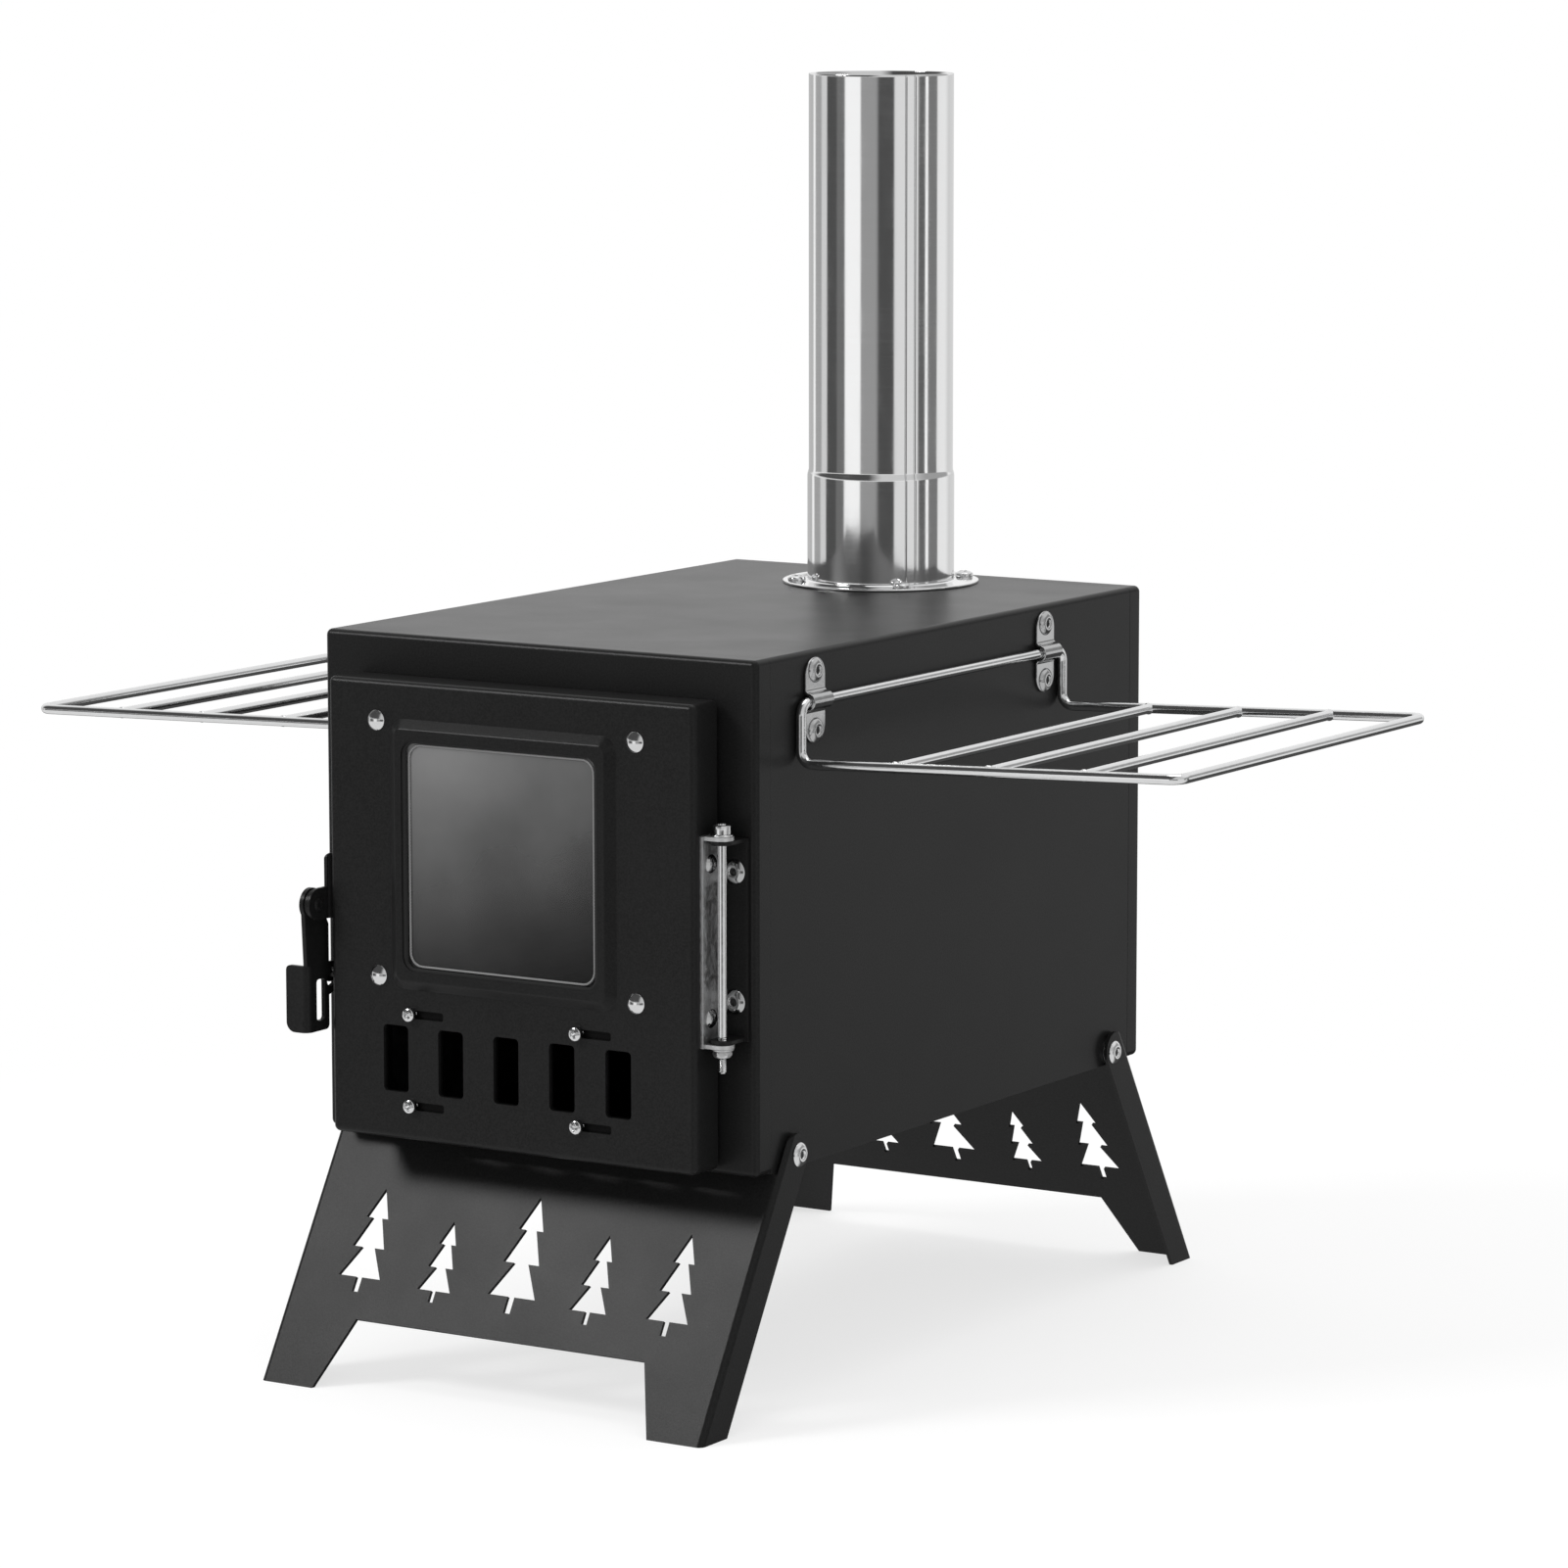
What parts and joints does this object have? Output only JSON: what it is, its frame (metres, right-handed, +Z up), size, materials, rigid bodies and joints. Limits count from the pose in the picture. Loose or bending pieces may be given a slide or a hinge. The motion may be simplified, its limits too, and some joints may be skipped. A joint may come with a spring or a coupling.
{
  "type": "tent wood stove",
  "caption": "Sheet-steel tent stove with a glazed hinged door, sliding air vent, folding splayed legs, folding wire side racks and a lift-off flue pipe.",
  "frame": {"origin": "on the ground, in the middle of the footprint", "axes": "+X to the right as seen from the front, +Y to the back (the door faces -Y), +Z up"},
  "size_m": [0.5342, 0.3882, 0.5042],
  "materials": {
    "coated_steel": "satin black heat-resistant coating",
    "bare_steel": "dull bare sheet",
    "stainless": "polished stainless sheet",
    "plated_steel": "bright nickel plate",
    "zinc_steel": "zinc plate",
    "glass": "smoky ceramic glass",
    "gasket": "flat black woven tape"
  },
  "bodies": {
    "firebox": {"body_shell": "coated_steel", "front_frame": "coated_steel", "back_panel": "coated_steel", "floor_panel": "coated_steel", "fire_grate": "bare_steel", "flue_collar": "stainless", "flue_screws": "plated_steel", "flue_nuts": "zinc_steel", "hinge_leaf_body": "coated_steel", "hinge_rivets_body": "plated_steel", "hinge_bolt": "plated_steel", "hinge_nut": "zinc_steel", "latch_keeper": "coated_steel", "keeper_rivets": "coated_steel", "rack_clips_left": "plated_steel", "rack_clips_right": "plated_steel", "clip_rivets_left": "plated_steel", "clip_rivets_right": "plated_steel", "leg_rivets": "plated_steel", "leg_washers": "zinc_steel"},
    "door": {"door_panel": "coated_steel", "window_gasket": "gasket", "door_glass": "glass", "glass_retainer": "coated_steel", "window_rivets": "plated_steel", "hinge_leaf_door": "zinc_steel", "hinge_rivets_door": "plated_steel", "latch_bracket": "coated_steel", "bracket_rivets": "coated_steel", "latch_pivot": "coated_steel", "latch_washer": "coated_steel"},
    "vent": {"vent_slider": "coated_steel", "slider_screws": "plated_steel", "slider_nuts": "zinc_steel"},
    "latch": {"latch_handle": "coated_steel"},
    "rack_left": {"rack_frame_left": "plated_steel", "rack_bars_left": "plated_steel"},
    "rack_right": {"rack_frame_right": "plated_steel", "rack_bars_right": "plated_steel"},
    "front_leg": {"leg_front": "coated_steel"},
    "rear_leg": {"leg_rear": "coated_steel"},
    "flue": {"flue_pipe": "stainless"}
  },
  "joints": [
    {"name": "door_swing", "type": "hinge", "parent": "firebox", "child": "door", "pos_m": [0.091, -0.16, 0.1868], "axis": [0, 0, 1], "range_deg": [0, 135]},
    {"name": "vent_slide", "type": "slide", "parent": "door", "child": "vent", "axis": [1, 0, 0], "range_m": [0, 0.0135]},
    {"name": "latch_turn", "type": "hinge", "parent": "door", "child": "latch", "pos_m": [-0.0905, -0.1742, 0.188], "axis": [-1, 0, 0], "range_deg": [-9.5, 80]},
    {"name": "rack_left_fold", "type": "hinge", "parent": "firebox", "child": "rack_left", "pos_m": [-0.10208, -0.021, 0.274], "axis": [0, 1, 0], "range_deg": [0, 115]},
    {"name": "rack_right_fold", "type": "hinge", "parent": "firebox", "child": "rack_right", "pos_m": [0.10208, -0.021, 0.274], "axis": [0, -1, 0], "range_deg": [0, 115]},
    {"name": "front_leg_fold", "type": "hinge", "parent": "firebox", "child": "front_leg", "pos_m": [0, -0.124, 0.1003], "axis": [1, 0, 0], "range_deg": [0, 118]},
    {"name": "rear_leg_fold", "type": "hinge", "parent": "firebox", "child": "rear_leg", "pos_m": [0, 0.124, 0.1003], "axis": [-1, 0, 0], "range_deg": [0, 118]},
    {"name": "flue_lift", "type": "slide", "parent": "firebox", "child": "flue", "axis": [0, 0, 1], "range_m": [0, 0.05]}
  ]
}
